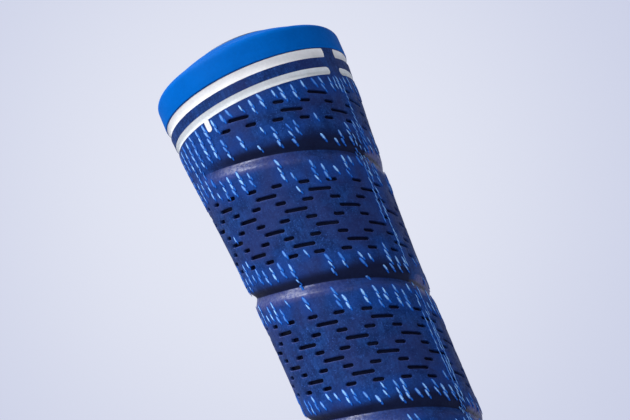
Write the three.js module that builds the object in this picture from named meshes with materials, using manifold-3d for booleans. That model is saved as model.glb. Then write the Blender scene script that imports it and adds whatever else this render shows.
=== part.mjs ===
// A full-size golf grip: the moulded rubber handle that slides over the butt end of a club's steel or graphite shaft.
// It is a laid-up, compression-moulded sleeve. A firm inner sleeve holds the tapered bore, a soft cushion sleeve lies on
// it, two sheets of cord fabric lie on that, and two cord-rubber skins, one in each half of the mould, form the outside.
// The skins carry one spiral wrap groove. A domed end cap with a vent hole closes the butt.
// Millimetres, +Z up the grip's axis, mouth at z = 0 and cap at the top. The spiral runs down to the right, seen from -Y.

import * as THREE from "three";
import { mergeVertices } from "three/addons/utils/BufferGeometryUtils.js";
import Module from "manifold-3d";

const wasm = await Module();
wasm.setup();

// ---- driving dimensions -------------------------------------------------------------------------------------------

const SLEEVE_LENGTH = 262; // mouth to the lower edge of the cap
const LIP_HEIGHT = 3; // plain ring at the mouth
const BOND = 0.1; // glue line between two bonded pieces

// Outside of the finished sleeve: [distance below the cap, radius].
const OUTSIDE = [
  [0, 13.8],
  [3, 13.57],
  [6, 13.42],
  [12, 12.9],
  [20, 12.26],
  [30, 11.72],
  [40, 11.42],
  [50, 11.28],
  [80, 10.9],
  [115, 10.45],
  [150, 9.98],
  [200, 9.3],
  [240, 8.72],
  [SLEEVE_LENGTH, 8.5],
];

const SKIN_THICKNESS = 1;
const FABRIC_THICKNESS = 0.3;
const INNER_WALL = 0.7;
const BORE_AT_MOUTH = 5.75;
const BORE_AT_BUTT = 7.62; // 0.600 inch shaft
const BORE_STRAIGHT = 12; // untapered length at the butt

const GROOVE_PITCH = 19.1; // axial lead of the spiral wrap
const GROOVE_DEPTH = 0.68;
const GROOVE_PHASE = 13.05; // distance of the groove below the cap where it crosses the front, at -Y
const GROOVE_FADE_IN = [8.6, 11.6]; // it starts from nothing over this stretch below the cap
const GROOVE_FADE_OUT = [238, 247];

const PARTING_DEG = 327.5; // where the two mould halves meet, and again half a turn on
const PARTING_GAP_DEG = 0.35;

// Painted channels: distance below the cap, from and to.
const UPPER_STRIPE = [0.15, 1.5];
const LOWER_STRIPE = [2.98, 4.15];
const STRIPE_END_DEG = 4.7; // the stripes stop this far from the parting line
const TICK = { deg: 234.6, width: 0.8, from: 4.25, to: 5.8 };
const CHANNEL_DEPTH = 0.55;
const PAINT_THICKNESS = 0.25;

const CAP = {
  radius: 13.88,
  rim: 4.1, // height of the straight side and its rounded edge
  edge: 1.2,
  dome: 3.6,
  spigot: 7.4, // radius of the plug that goes down the bore
  plug: 7, // its length, down to the seat of the shaft
  chamfer: 0.4,
  vent: 1.9,
};
const EMBLEM = { inner: 4.9, outer: 7.1, recess: 0.35, proud: 0.2 };

const ROUND = 36; // flats round every turned piece
const HALF_ROUND = ROUND / 2;

// ---- shared shapes ------------------------------------------------------------------------------------------------

const radians = THREE.MathUtils.degToRad;

// The value at x of a smooth curve through rows of [x, value].
function smooth(rows, x) {
  const last = rows.length - 1;
  if (x <= rows[0][0]) return rows[0][1];
  if (x >= rows[last][0]) return rows[last][1];
  const i = rows.findIndex((row) => row[0] > x) - 1;
  const slope = (k) => {
    const a = rows[Math.max(k - 1, 0)];
    const b = rows[Math.min(k + 1, last)];
    return (b[1] - a[1]) / (b[0] - a[0]);
  };
  const span = rows[i + 1][0] - rows[i][0];
  const t = (x - rows[i][0]) / span;
  const rise = t * t * (3 - 2 * t);
  return (
    rows[i][1] +
    (rows[i + 1][1] - rows[i][1]) * rise +
    span * (slope(i) * t * (1 - t) ** 2 - slope(i + 1) * t * t * (1 - t))
  );
}

const outside = (z) => smooth(OUTSIDE, SLEEVE_LENGTH - z);
const skinInside = (z) => outside(z) - SKIN_THICKNESS;
const fabricOutside = (z) => skinInside(z) - BOND;
const fabricInside = (z) => fabricOutside(z) - FABRIC_THICKNESS;
const bore = (z) =>
  THREE.MathUtils.mapLinear(
    Math.min(z, SLEEVE_LENGTH - BORE_STRAIGHT),
    0,
    SLEEVE_LENGTH - BORE_STRAIGHT,
    BORE_AT_MOUTH,
    BORE_AT_BUTT,
  );

// Heights at which the layers change taper, between the lip and the cap.
const LAYER_BOTTOM = LIP_HEIGHT + BOND;
const LAYER_TOP = SLEEVE_LENGTH - BOND;
const STATIONS = [
  LAYER_BOTTOM,
  22,
  62,
  112,
  182,
  222,
  232,
  242,
  250,
  256,
  LAYER_TOP,
];

// A closed outline of [radius, height] points turned about Z, with its flats lined up on the parting line.
function turned(outline) {
  const points = outline.map(([r, z]) => new THREE.Vector2(r, z));
  points.push(points[0].clone());
  return new THREE.LatheGeometry(
    points,
    ROUND,
    radians(PARTING_DEG + 90),
  ).rotateX(Math.PI / 2);
}

// A block bent round the axis. Its columns run over an angle, its rows up the axis, and its depth is from inner to outer.
// place(column, row, depth) gives [angle in degrees, height, radius], each argument running from 0 to 1.
function bentBlock(columns, rows, place) {
  const block = new THREE.BoxGeometry(1, 1, 1, columns, rows, 1);
  const at = block.getAttribute("position");
  for (let i = 0; i < at.count; i++) {
    const [deg, z, r] = place(
      at.getX(i) + 0.5,
      at.getY(i) + 0.5,
      at.getZ(i) + 0.5,
    );
    at.setXYZ(i, r * Math.cos(radians(deg)), r * Math.sin(radians(deg)), z);
  }
  return block;
}

function solid(geometry) {
  const bare = geometry.clone();
  bare.deleteAttribute("normal");
  bare.deleteAttribute("uv");
  const merged = mergeVertices(bare, 1e-4);
  return new wasm.Manifold(
    new wasm.Mesh({
      numProp: 3,
      vertProperties: new Float32Array(merged.getAttribute("position").array),
      triVerts: new Uint32Array(merged.index.array),
    }),
  );
}

function geometryOf(manifold) {
  const mesh = manifold.getMesh();
  const geometry = new THREE.BufferGeometry();
  geometry.setAttribute(
    "position",
    new THREE.BufferAttribute(new Float32Array(mesh.vertProperties), 3),
  );
  geometry.setIndex(new THREE.BufferAttribute(new Uint32Array(mesh.triVerts), 1));
  geometry.computeVertexNormals();
  return geometry;
}

// ---- the spiral groove --------------------------------------------------------------------------------------------

// Depth across the groove: [distance towards the mouth from its deepest line, share of the full depth].
const GROOVE_SECTION = [
  [-1.9, 0],
  [-0.8, 0.43],
  [0, 1],
  [0.7, 0.5],
  [1.5, 0],
];

const grooveBelowCap = (deg) => GROOVE_PHASE + ((deg - 270) / 360) * GROOVE_PITCH;

const fade = ([from, to], x) => THREE.MathUtils.smoothstep(x, from, to);

// How deep the skin is pressed in where the section gives this share, at a distance below the cap.
const grooveDepth = (share, below) =>
  GROOVE_DEPTH * share * fade(GROOVE_FADE_IN, below) * (1 - fade(GROOVE_FADE_OUT, below));

// ---- pieces -------------------------------------------------------------------------------------------------------

// A half skin runs over half a turn from startDeg. Its rows follow the spiral, five to each turn of the groove, so that
// the groove's edges are edges of the solid, and a turned ring then trims its ends and its inside.
function skinHalf(startDeg) {
  const perTurn = GROOVE_SECTION.length;
  const firstTurn = -1;
  const turns = Math.ceil(SLEEVE_LENGTH / GROOVE_PITCH) + 2;
  const rows = turns * perTurn;
  const core = BORE_AT_MOUTH;
  const grooved = solid(
    bentBlock(HALF_ROUND, rows, (column, row, depth) => {
      const deg = THREE.MathUtils.lerp(
        startDeg + PARTING_GAP_DEG,
        startDeg + 180 - PARTING_GAP_DEG,
        column,
      );
      const step = Math.round((1 - row) * rows); // counted down from the cap
      const [offset, share] = GROOVE_SECTION[step % perTurn];
      const line =
        grooveBelowCap(deg) + (firstTurn + Math.floor(step / perTurn)) * GROOVE_PITCH;
      const below = line + offset;
      const z = SLEEVE_LENGTH - below;
      return [deg, z, depth < 0.5 ? core : outside(z) - grooveDepth(share, line)];
    }),
  );
  const wide = 2 * CAP.radius;
  const wall = STATIONS.map((z) => [skinInside(z), z]);
  const ring = solid(turned([[wide, LAYER_BOTTOM], [wide, LAYER_TOP], ...wall.reverse()]));
  return grooved.intersect(ring);
}

// An arc in a painted channel: the cutter that makes the channel, or the paint that lies in it.
function channelArc({ from, to, startDeg, endDeg, floor, top, spare }) {
  const extraDeg = THREE.MathUtils.radToDeg(spare / outside(SLEEVE_LENGTH));
  const columns = Math.max(2, Math.round((endDeg - startDeg) / (360 / ROUND)));
  return bentBlock(columns, 1, (column, row, depth) => {
    const deg = THREE.MathUtils.lerp(startDeg - extraDeg, endDeg + extraDeg, column);
    const below = row < 0.5 ? to + spare : from - spare;
    const z = SLEEVE_LENGTH - below;
    return [deg, z, outside(z) - (depth < 0.5 ? floor : top)];
  });
}

const paintFloor = CHANNEL_DEPTH - BOND;
const cutter = (arc) =>
  solid(channelArc({ ...arc, floor: CHANNEL_DEPTH, top: -1, spare: BOND }));
const paint = (arc) =>
  channelArc({ ...arc, floor: paintFloor, top: paintFloor - PAINT_THICKNESS, spare: 0 });

const stripeArc = ([from, to], startDeg) => ({
  from,
  to,
  startDeg: startDeg + STRIPE_END_DEG,
  endDeg: startDeg + 180 - STRIPE_END_DEG,
});

function tickArc() {
  const halfDeg = THREE.MathUtils.radToDeg(TICK.width / 2 / outside(SLEEVE_LENGTH - TICK.from));
  return {
    from: TICK.from,
    to: TICK.to,
    startDeg: TICK.deg - halfDeg,
    endDeg: TICK.deg + halfDeg,
  };
}

function fabricHalf(startDeg) {
  return bentBlock(HALF_ROUND, STATIONS.length - 1, (column, row, depth) => {
    const z = STATIONS[Math.round(row * (STATIONS.length - 1))];
    return [
      THREE.MathUtils.lerp(
        startDeg + PARTING_GAP_DEG,
        startDeg + 180 - PARTING_GAP_DEG,
        column,
      ),
      z,
      depth < 0.5 ? fabricInside(z) : fabricOutside(z),
    ];
  });
}

function cushionSleeve() {
  const innerWall = (z) => bore(z) + INNER_WALL + BOND;
  const outline = STATIONS.map((z) => [fabricInside(z) - BOND, z]);
  outline.push(
    [innerWall(LAYER_TOP), LAYER_TOP],
    [innerWall(SLEEVE_LENGTH - BORE_STRAIGHT), SLEEVE_LENGTH - BORE_STRAIGHT],
    [innerWall(LAYER_BOTTOM), LAYER_BOTTOM],
  );
  return turned(outline);
}

// The bore's firm wall. At the mouth it widens to a lip that covers the ends of the other layers.
function innerSleeve() {
  const butt = SLEEVE_LENGTH - BORE_STRAIGHT;
  const lip = outside(0);
  const round = 0.5;
  return turned([
    [BORE_AT_MOUTH, 0],
    [lip - round, 0],
    [lip, round],
    [lip, LIP_HEIGHT],
    [bore(LIP_HEIGHT) + INNER_WALL, LIP_HEIGHT],
    [BORE_AT_BUTT + INNER_WALL, butt],
    [BORE_AT_BUTT + INNER_WALL, LAYER_TOP],
    [BORE_AT_BUTT, LAYER_TOP],
    [BORE_AT_BUTT, butt],
  ]);
}

const RIM_TOP = SLEEVE_LENGTH + CAP.rim;
const DOME_BASE = CAP.radius - CAP.edge;
const DOME_SPHERE = (DOME_BASE ** 2 + CAP.dome ** 2) / (2 * CAP.dome);
const domeHeight = (r) => RIM_TOP + CAP.dome - DOME_SPHERE + Math.sqrt(DOME_SPHERE ** 2 - r * r);

// The cap's outline, from the vent up the seat and the plug, round the rim and over the dome with the emblem's recess.
function endCap() {
  const seat = SLEEVE_LENGTH - CAP.plug;
  const outline = [
    [CAP.vent, seat],
    [CAP.spigot - CAP.chamfer, seat],
    [CAP.spigot, seat + CAP.chamfer],
    [CAP.spigot, SLEEVE_LENGTH],
    [CAP.radius, SLEEVE_LENGTH],
  ];
  const edgeSteps = 4;
  for (let i = 0; i <= edgeSteps; i++) {
    const turn = (i / edgeSteps) * (Math.PI / 2) * 0.8;
    outline.push([
      DOME_BASE + CAP.edge * Math.cos(turn),
      RIM_TOP - CAP.edge + CAP.edge * Math.sin(turn),
    ]);
  }
  for (const r of [11.6, 10.2, 8.7]) outline.push([r, domeHeight(r)]);
  const wide = EMBLEM.outer + BOND;
  const narrow = EMBLEM.inner - BOND;
  const middle = (wide + narrow) / 2;
  outline.push([wide, domeHeight(wide)]);
  for (const r of [wide, middle, narrow]) outline.push([r, domeHeight(r) - EMBLEM.recess]);
  outline.push([narrow, domeHeight(narrow)]);
  for (const r of [3.6, CAP.vent + CAP.chamfer]) outline.push([r, domeHeight(r)]);
  outline.push([CAP.vent, domeHeight(CAP.vent) - CAP.chamfer]);
  return turned(outline);
}

// A ring seated in the dome's recess and standing a little proud of it.
function emblemRing() {
  const middle = (EMBLEM.inner + EMBLEM.outer) / 2;
  const across = [EMBLEM.inner, middle, EMBLEM.outer];
  const under = across.map((r) => [r, domeHeight(r) - EMBLEM.recess + BOND]);
  const over = across.map((r) => [r, domeHeight(r) + EMBLEM.proud]).reverse();
  return turned([...under, ...over]);
}

// ---- assembly -----------------------------------------------------------------------------------------------------

const finishes = {
  navy: { color: 0x1c2c66, roughness: 0.6, metalness: 0 },
  capBlue: { color: 0x0b66cf, roughness: 0.5, metalness: 0 },
  white: { color: 0xe9ebec, roughness: 0.45, metalness: 0 },
  slate: { color: 0x5b7fae, roughness: 0.5, metalness: 0 },
  cord: { color: 0x8fb2ea, roughness: 0.9, metalness: 0 },
  cushion: { color: 0x24305a, roughness: 0.8, metalness: 0 },
  core: { color: 0x161c38, roughness: 0.7, metalness: 0 },
};

const grip = new THREE.Group();

function add(name, finish, geometry) {
  const mesh = new THREE.Mesh(geometry, new THREE.MeshStandardMaterial(finishes[finish]));
  mesh.name = name;
  grip.add(mesh);
}

add("inner_sleeve", "core", innerSleeve());
add("cushion_sleeve", "cushion", cushionSleeve());
add("end_cap", "capBlue", endCap());
add("cap_emblem_ring", "slate", emblemRing());

for (const [side, startDeg] of [
  ["front", PARTING_DEG - 180],
  ["rear", PARTING_DEG],
]) {
  const upper = stripeArc(UPPER_STRIPE, startDeg);
  const lower = stripeArc(LOWER_STRIPE, startDeg);
  let skin = skinHalf(startDeg).subtract(cutter(upper)).subtract(cutter(lower));
  if (side === "front") {
    skin = skin.subtract(cutter(tickArc()));
    add("alignment_tick", "white", paint(tickArc()));
  }
  add(`cord_fabric_${side}`, "cord", fabricHalf(startDeg));
  add(`outer_skin_${side}`, "navy", geometryOf(skin));
  add(`upper_stripe_${side}`, "white", paint(upper));
  add(`lower_stripe_${side}`, "white", paint(lower));
}

export default grip;
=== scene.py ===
"""Looks for a full-size rubber golf grip, built round its CAD frame.

The grip stands on its mouth with the domed cap at the top. Its navy skin is one moulded sleeve with a
spiral wrap groove and rows of small slots that run along the spiral, and twisted cords show through it
as light blue dashes.

Lengths are in millimetres until a piece is finished, and only then in metres. A place on the sleeve is
given by its distance below the cap and by its angle round the axis, in degrees from +X towards +Y, so
that the front is at 270.
"""

import math
import random

import bmesh
import bpy
import numpy as np
from mathutils import Matrix, Vector, noise
from mathutils.kdtree import KDTree


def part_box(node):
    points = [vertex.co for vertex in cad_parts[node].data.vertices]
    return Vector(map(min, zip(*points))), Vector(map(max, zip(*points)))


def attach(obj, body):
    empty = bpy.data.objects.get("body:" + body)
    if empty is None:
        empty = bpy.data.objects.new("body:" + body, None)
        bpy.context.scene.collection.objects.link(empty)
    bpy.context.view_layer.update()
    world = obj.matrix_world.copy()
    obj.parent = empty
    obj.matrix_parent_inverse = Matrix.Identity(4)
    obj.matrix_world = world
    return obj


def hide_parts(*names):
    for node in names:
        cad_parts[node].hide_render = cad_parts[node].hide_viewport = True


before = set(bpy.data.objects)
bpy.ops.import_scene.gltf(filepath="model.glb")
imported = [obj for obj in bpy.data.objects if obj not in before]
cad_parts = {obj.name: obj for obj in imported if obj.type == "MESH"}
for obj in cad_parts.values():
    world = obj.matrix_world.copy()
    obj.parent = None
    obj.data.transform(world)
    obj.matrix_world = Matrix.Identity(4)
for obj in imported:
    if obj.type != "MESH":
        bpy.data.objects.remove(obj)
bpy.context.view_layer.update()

MM = 0.001
BOND = 0.1

# ---- sizes taken from the frame ----

CAP_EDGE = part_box("inner_sleeve")[1].z / MM + BOND  # height of the cap's lower edge
SKIN_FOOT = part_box("outer_skin_front")[0].z / MM  # height of the skin's lower end
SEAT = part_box("end_cap")[0].z / MM  # height of the plug's foot inside the sleeve

# ---- the sleeve's form ----

# Outside of the sleeve: distance below the cap, radius.
OUTSIDE = [
    (0, 13.8),
    (3, 13.57),
    (6, 13.42),
    (12, 12.9),
    (20, 12.26),
    (30, 11.72),
    (40, 11.42),
    (50, 11.28),
    (80, 10.9),
    (115, 10.45),
    (150, 9.98),
    (200, 9.3),
    (240, 8.72),
    (262, 8.5),
]
SKIN_THICKNESS = 1.0
PARTING_DEG = 327.5

GROOVE_PITCH = 19.1
GROOVE_DEPTH = 0.72
GROOVE_PHASE = 13.05  # distance below the cap where the groove crosses the front
GROOVE_FADE_IN = (8.8, 11.6)
GROOVE_FADE_OUT = (238, 247)

# Section across the groove: distance towards the mouth from its deepest line, share of the full depth.
GROOVE_SECTION = [
    (-2.6, 0),
    (-2.0, 0.02),
    (-1.6, 0.07),
    (-1.2, 0.18),
    (-0.9, 0.35),
    (-0.6, 0.6),
    (-0.35, 0.84),
    (-0.15, 0.97),
    (0, 1),
    (0.1, 0.96),
    (0.3, 0.83),
    (0.65, 0.54),
    (1.0, 0.25),
    (1.2, 0.09),
    (1.35, 0.02),
    (1.6, 0),
]

# The slots lie in rows along the spiral. Rows of short and long slots take turns.
SLOT_PITCH = 3.706
SLOT_PHASE_DEG = 237.3  # angle of one short slot in the middle row
SLOT_EASE, SLOT_EASE_DEG = 1.32, 220  # how the pattern is stretched over the flare under the cap
SLOT_WIDTH = 0.56
SHORT_SLOT = 1.5
LONG_SLOT = 3.1
SLOT_DEPTH = 0.55
SLOT_LIP = 0.1
FIRST_ROW = 4.6  # from the groove's deepest line to the first row's
ROW_STEP = 1.27
SHORT_ROWS = 5
SLOTS_BELOW_CAP = (5.9, 249)
SLOTS_START_DEG = -123  # counted on from turn to turn, as the groove's angle is

# The top turn leans a little more than the others and sits a little higher, until it has gone round the back.
TOP_TURN_DEG = (-20, 150)
TOP_LEAN, TOP_LEAN_FROM, TOP_RISE = 0.291, 11.15, 0.35


def curve(rows, x):
    """Smooth curve through rows of (x, value), held flat past both ends."""
    xs, ys = np.array(rows, float).T
    slopes = np.empty_like(ys)
    slopes[1:-1] = (ys[2:] - ys[:-2]) / (xs[2:] - xs[:-2])
    slopes[0] = (ys[1] - ys[0]) / (xs[1] - xs[0])
    slopes[-1] = (ys[-1] - ys[-2]) / (xs[-1] - xs[-2])
    x = np.clip(np.asarray(x, float), xs[0], xs[-1])
    i = np.clip(np.searchsorted(xs, x, side="right") - 1, 0, len(xs) - 2)
    span = xs[i + 1] - xs[i]
    t = (x - xs[i]) / span
    rise = t * t * (3 - 2 * t)
    bend = slopes[i] * t * (1 - t) ** 2 - slopes[i + 1] * t * t * (1 - t)
    return ys[i] + (ys[i + 1] - ys[i]) * rise + span * bend


def fade(limits, x):
    """Rises smoothly from 0 at the first limit to 1 at the second."""
    t = np.clip((np.asarray(x, float) - limits[0]) / (limits[1] - limits[0]), 0, 1)
    return t * t * (3 - 2 * t)


def outside(below):
    return curve(OUTSIDE, below)


def groove_line(deg):
    """Distance below the cap of the groove's deepest line, which goes down as the angle goes on."""
    return GROOVE_PHASE + (np.asarray(deg, float) - 270) / 360 * GROOVE_PITCH


def past_groove(deg, below):
    """How far a place lies below the nearest turn of the groove's deepest line, negative above it."""
    past = np.asarray(below, float) - groove_line(deg)
    return (past + GROOVE_PITCH / 2) % GROOVE_PITCH - GROOVE_PITCH / 2


def groove_share(deg, below):
    """The groove's depth at a place as a share of its full depth."""
    past = past_groove(deg, below)
    line = below - past
    section = np.interp(past, *np.array(GROOVE_SECTION).T)
    return section * fade(GROOVE_FADE_IN, line) * (1 - fade(GROOVE_FADE_OUT, line))


def groove_depth(deg, below):
    """How far the skin is pressed in."""
    return GROOVE_DEPTH * groove_share(deg, below)


def point(deg, below, lift=0.0):
    """Places on the sleeve as an array of x, y, z, lifted off its outside."""
    angle = np.radians(deg)
    r = outside(below) + lift
    height = CAP_EDGE - np.asarray(below, float) + 0 * r
    return np.stack([r * np.cos(angle), r * np.sin(angle), height], -1)


# ---- mesh tools ----


def deselect_all():
    if bpy.context.object and bpy.context.object.mode != "OBJECT":
        bpy.ops.object.mode_set(mode="OBJECT")
    bpy.ops.object.select_all(action="DESELECT")


def pick(obj):
    deselect_all()
    obj.select_set(True)
    bpy.context.view_layer.objects.active = obj


def read_points(obj):
    flat = np.empty(len(obj.data.vertices) * 3)
    obj.data.vertices.foreach_get("co", flat)
    return flat.reshape(-1, 3)


def write_points(obj, points):
    obj.data.vertices.foreach_set("co", np.asarray(points, float).ravel())
    obj.data.update()


def mark_points(obj, label, values):
    """Stores one number for each point of the mesh, for its material to read."""
    attribute = obj.data.attributes.new(label, "FLOAT", "POINT")
    attribute.data.foreach_set("value", np.asarray(values, float))


def join(objects):
    deselect_all()
    for obj in objects:
        obj.select_set(True)
    bpy.context.view_layer.objects.active = objects[0]
    bpy.ops.object.join()
    return bpy.context.object


def weld(obj, distance):
    pick(obj)
    bpy.ops.object.mode_set(mode="EDIT")
    bpy.ops.mesh.select_all(action="SELECT")
    bpy.ops.mesh.remove_doubles(threshold=distance)
    bpy.ops.object.mode_set(mode="OBJECT")


def select_where(obj, kind, test):
    """In edit mode, selects the parts of one kind whose place passes the test, and nothing else."""
    bpy.ops.mesh.select_mode(type={"verts": "VERT", "edges": "EDGE", "faces": "FACE"}[kind])
    bpy.ops.mesh.select_all(action="DESELECT")
    mesh = bmesh.from_edit_mesh(obj.data)
    for part in getattr(mesh, kind):
        corners = [part] if kind == "verts" else part.verts
        part.select_set(test(sum((corner.co for corner in corners), Vector()) / len(corners)))
    mesh.select_flush_mode()
    bmesh.update_edit_mesh(obj.data)


def modify(obj, kind, **values):
    """Adds a modifier and applies it."""
    pick(obj)
    bpy.ops.object.modifier_add(type=kind)
    modifier = obj.modifiers[-1]
    for key, value in values.items():
        setattr(modifier, key, value)
    bpy.ops.object.modifier_apply(modifier=modifier.name)


def grid(name, columns, rows):
    """A flat sheet of columns by rows cells, one unit square, seen from +Z."""
    deselect_all()
    bpy.ops.mesh.primitive_grid_add(x_subdivisions=columns, y_subdivisions=rows, size=1)
    obj = bpy.context.object
    obj.name = name
    return obj


def sheet_of(name, across, up):
    """A flat sheet whose columns stand at the values in across, and whose rows stand at the values in up."""
    obj = grid(name, len(across) - 1, len(up) - 1)
    points = read_points(obj)
    column = np.rint((points[:, 0] + 0.5) * (len(across) - 1)).astype(int)
    row = np.rint((points[:, 1] + 0.5) * (len(up) - 1)).astype(int)
    points[:, 0] = np.asarray(across, float)[column]
    points[:, 1] = np.asarray(up, float)[row]
    write_points(obj, points)
    return obj


def finish_piece(obj, name, material, nodes=(), smooth_deg=40):
    """Brings a piece from millimetres to metres, shades it and puts it on the frame."""
    obj.name = obj.data.name = name
    pick(obj)
    obj.data.transform(Matrix.Scale(MM, 4))
    bpy.ops.object.shade_smooth_by_angle(angle=math.radians(smooth_deg))
    obj.data.materials.clear()
    obj.data.materials.append(material)
    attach(obj, "root")
    if nodes:
        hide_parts(*nodes)
    return obj


def turned(name, outline, steps=128):
    """A piece turned about Z from (radius, height) points. A closed outline ends where it starts."""
    mesh = bpy.data.meshes.new(name)
    verts = [(r, 0, z) for r, z in outline]
    mesh.from_pydata(verts, [(i, i + 1) for i in range(len(verts) - 1)], [])
    obj = bpy.data.objects.new(name, mesh)
    bpy.context.scene.collection.objects.link(obj)
    pick(obj)
    bpy.ops.object.mode_set(mode="EDIT")
    bpy.ops.mesh.select_all(action="SELECT")
    bpy.ops.mesh.spin(steps=steps, angle=math.tau, center=(0, 0, 0), axis=(0, 0, 1))
    bpy.ops.mesh.select_all(action="SELECT")
    bpy.ops.mesh.remove_doubles(threshold=0.002)
    bpy.ops.mesh.normals_make_consistent(inside=False)
    bpy.ops.object.mode_set(mode="OBJECT")
    return obj


def arc(centre, radius, start_deg, end_deg, steps):
    """Points on an arc of (radius, height)."""
    angles = [math.radians(start_deg + (end_deg - start_deg) * i / steps) for i in range(steps + 1)]
    return [(centre[0] + radius * math.cos(a), centre[1] + radius * math.sin(a)) for a in angles]


# ---- camera, stage and light ----

LENS = 137.14
CAMERA_PLACE = (1.19, -324.7, CAP_EDGE - 109.57)
CAMERA_LOOKS_UP_DEG, CAMERA_ROLL_DEG = 15.6, -23.25


def set_up_camera():
    data = bpy.data.cameras.new("camera")
    data.sensor_width = 36
    data.lens = LENS
    camera = bpy.data.objects.new("camera", data)
    bpy.context.scene.collection.objects.link(camera)
    place = Matrix.Translation(Vector(CAMERA_PLACE) * MM)
    look_up = Matrix.Rotation(math.radians(90 + CAMERA_LOOKS_UP_DEG), 4, "X")
    roll = Matrix.Rotation(math.radians(CAMERA_ROLL_DEG), 4, "Z")
    camera.matrix_world = place @ look_up @ roll
    bpy.context.scene.camera = camera


def set_up_stage():
    bpy.context.scene.view_settings.view_transform = "Standard"

    deselect_all()
    bpy.ops.mesh.primitive_circle_add(vertices=96, radius=8, fill_type="NGON")
    floor = bpy.context.object
    floor.name = "floor"
    paper = bpy.data.materials.new("pale_paper")
    paper.use_nodes = True
    shader = paper.node_tree.nodes["Principled BSDF"]
    shader.inputs["Base Color"].default_value = (0.8, 0.81, 0.86, 1)
    shader.inputs["Roughness"].default_value = 0.9
    floor.data.materials.append(paper)

    world = bpy.data.worlds.new("studio")
    bpy.context.scene.world = world
    world.use_nodes = True
    nodes, links = world.node_tree.nodes, world.node_tree.links
    backdrop = nodes["Background"]
    towards = nodes.new("ShaderNodeTexCoord")
    pool = nodes.new("ShaderNodeVectorMath")
    pool.operation = "DISTANCE"
    pool.inputs[1].default_value = (-0.01, 0.962, 0.282)
    links.new(towards.outputs["Generated"], pool.inputs[0])
    fall = nodes.new("ShaderNodeMapRange")
    fall.interpolation_type = "SMOOTHSTEP"
    fall.inputs["From Min"].default_value = 0.03
    fall.inputs["From Max"].default_value = 0.2
    links.new(pool.outputs["Value"], fall.inputs["Value"])
    tone = nodes.new("ShaderNodeMix")
    tone.data_type = "RGBA"
    tone.inputs[6].default_value = (0.765, 0.790, 0.900, 1)
    tone.inputs[7].default_value = (0.590, 0.625, 0.790, 1)
    links.new(fall.outputs["Result"], tone.inputs[0])
    links.new(tone.outputs[2], backdrop.inputs["Color"])
    room = nodes.new("ShaderNodeBackground")
    room.inputs["Color"].default_value = (0.8, 0.88, 1, 1)
    room.inputs["Strength"].default_value = 0.27
    rays = nodes.new("ShaderNodeLightPath")
    mix = nodes.new("ShaderNodeMixShader")
    glossy = nodes.new("ShaderNodeMath")
    glossy.operation = "MULTIPLY"
    glossy.inputs[1].default_value = 0.4
    links.new(rays.outputs["Is Glossy Ray"], glossy.inputs[0])
    seen = nodes.new("ShaderNodeMath")
    seen.operation = "MAXIMUM"
    links.new(rays.outputs["Is Camera Ray"], seen.inputs[0])
    links.new(glossy.outputs[0], seen.inputs[1])
    links.new(seen.outputs[0], mix.inputs["Fac"])
    links.new(room.outputs[0], mix.inputs[1])
    links.new(backdrop.outputs[0], mix.inputs[2])
    links.new(mix.outputs[0], nodes["World Output"].inputs["Surface"])


def add_softbox(name, direction, distance, size, watts, colour):
    data = bpy.data.lights.new(name, "AREA")
    data.shape = "DISK"
    data.size = size
    data.energy = watts
    data.color = colour
    light = bpy.data.objects.new(name, data)
    bpy.context.scene.collection.objects.link(light)
    aim = Vector((0, 0, CAP_EDGE * MM * 0.85))
    back = Vector(direction).normalized()
    light.location = aim + back * distance
    light.rotation_euler = back.to_track_quat("Z", "Y").to_euler()
    return light


def set_up_lights():
    add_softbox("key", (-0.52, -0.48, 0.7), 1.2, 0.5, 12, (1, 0.99, 0.97))
    add_softbox("top", (-0.38, 0.05, 0.92), 1.0, 0.42, 6, (0.95, 0.95, 1))
    add_softbox("fill", (0.1, -1, 0.15), 1.6, 0.9, 4.3, (0.97, 0.95, 0.92))


# ---- materials ----


def new_group(name, inputs, outputs):
    """An empty shader node group. Inputs are (name, kind, default) and outputs are (name, kind)."""
    group = bpy.data.node_groups.new(name, "ShaderNodeTree")
    kinds = {"value": "NodeSocketFloat", "colour": "NodeSocketColor", "vector": "NodeSocketVector"}
    for label, kind, default in inputs:
        socket = group.interface.new_socket(name=label, in_out="INPUT", socket_type=kinds[kind])
        socket.default_value = default
    for label, kind in outputs:
        group.interface.new_socket(name=label, in_out="OUTPUT", socket_type=kinds[kind])
    return group, group.nodes.new("NodeGroupInput"), group.nodes.new("NodeGroupOutput")


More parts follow.
